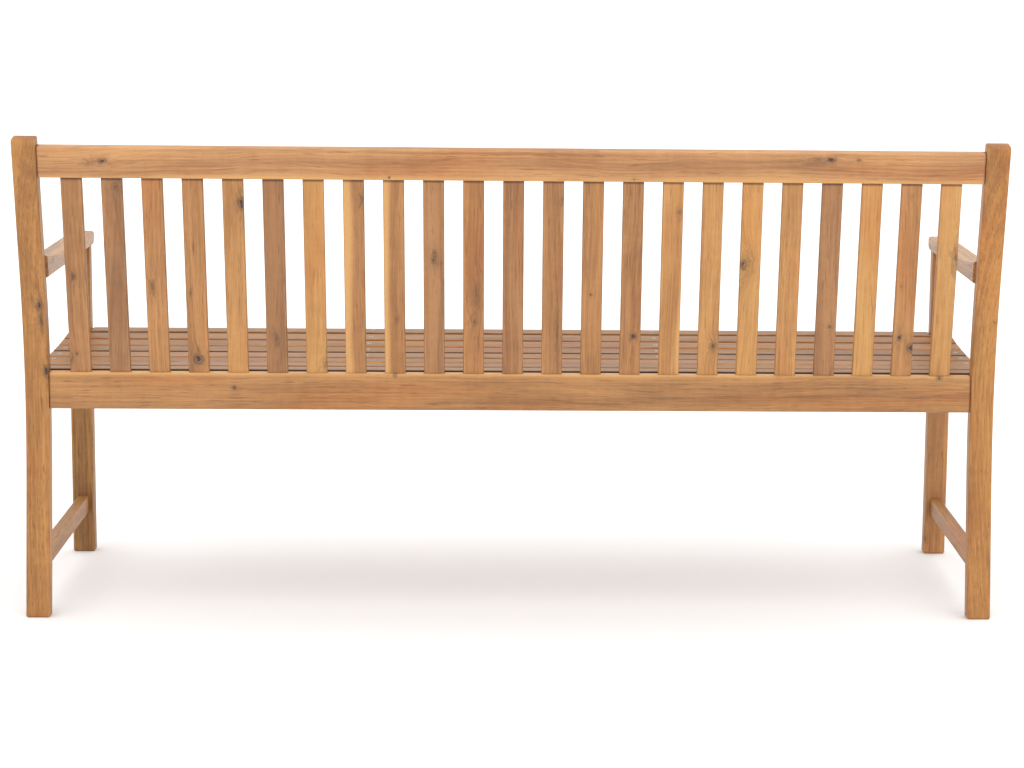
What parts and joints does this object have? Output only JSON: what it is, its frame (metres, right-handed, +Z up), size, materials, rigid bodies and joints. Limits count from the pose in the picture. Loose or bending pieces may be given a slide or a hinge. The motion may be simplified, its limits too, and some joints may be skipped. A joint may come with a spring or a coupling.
{
  "type": "garden bench",
  "caption": "Slatted hardwood garden bench with curved rear legs, upright back slats, dished slatted seat, gently curved armrests and side stretchers.",
  "frame": {"origin": "middle of the bench's footprint, on the floor", "axes": "+X along the bench, +Y towards the back, +Z up; a sitter faces -Y"},
  "size_m": [1.8, 0.5568, 0.8993],
  "materials": {
    "leg_wood": "oiled satin hardwood",
    "arm_wood": "oiled satin hardwood",
    "rail_wood": "oiled satin hardwood",
    "back_slat_wood": "oiled satin hardwood",
    "seat_slat_wood": "oiled satin hardwood",
    "frame_wood": "oiled satin hardwood",
    "dowel_wood": "plain turned beech",
    "zinc_steel": "zinc plated"
  },
  "bodies": {
    "root": {"rear_leg_right": "leg_wood", "front_leg_right": "leg_wood", "armrest_right": "arm_wood", "side_rail_right": "frame_wood", "side_stretcher_right": "frame_wood", "rear_leg_left": "leg_wood", "front_leg_left": "leg_wood", "armrest_left": "arm_wood", "side_rail_left": "frame_wood", "side_stretcher_left": "frame_wood", "top_rail": "rail_wood", "rear_rail": "rail_wood", "front_rail": "rail_wood", "seat_bearer_01": "frame_wood", "seat_bearer_02": "frame_wood", "back_slat_01": "back_slat_wood", "back_slat_02": "back_slat_wood", "back_slat_03": "back_slat_wood", "back_slat_04": "back_slat_wood", "back_slat_05": "back_slat_wood", "back_slat_06": "back_slat_wood", "back_slat_07": "back_slat_wood", "back_slat_08": "back_slat_wood", "back_slat_09": "back_slat_wood", "back_slat_10": "back_slat_wood", "back_slat_11": "back_slat_wood", "back_slat_12": "back_slat_wood", "back_slat_13": "back_slat_wood", "back_slat_14": "back_slat_wood", "back_slat_15": "back_slat_wood", "back_slat_16": "back_slat_wood", "back_slat_17": "back_slat_wood", "back_slat_18": "back_slat_wood", "back_slat_19": "back_slat_wood", "back_slat_20": "back_slat_wood", "back_slat_21": "back_slat_wood", "back_slat_22": "back_slat_wood", "back_slat_23": "back_slat_wood", "seat_slat_01": "seat_slat_wood", "seat_slat_02": "seat_slat_wood", "seat_slat_03": "seat_slat_wood", "seat_slat_04": "seat_slat_wood", "seat_slat_05": "seat_slat_wood", "seat_slat_06": "seat_slat_wood", "seat_slat_07": "seat_slat_wood", "seat_slat_08": "seat_slat_wood", "connector_bolts": "zinc_steel", "bolt_washers": "zinc_steel", "barrel_nuts": "zinc_steel", "locating_dowels": "dowel_wood", "seat_screws": "zinc_steel"}
  },
  "joints": []
}
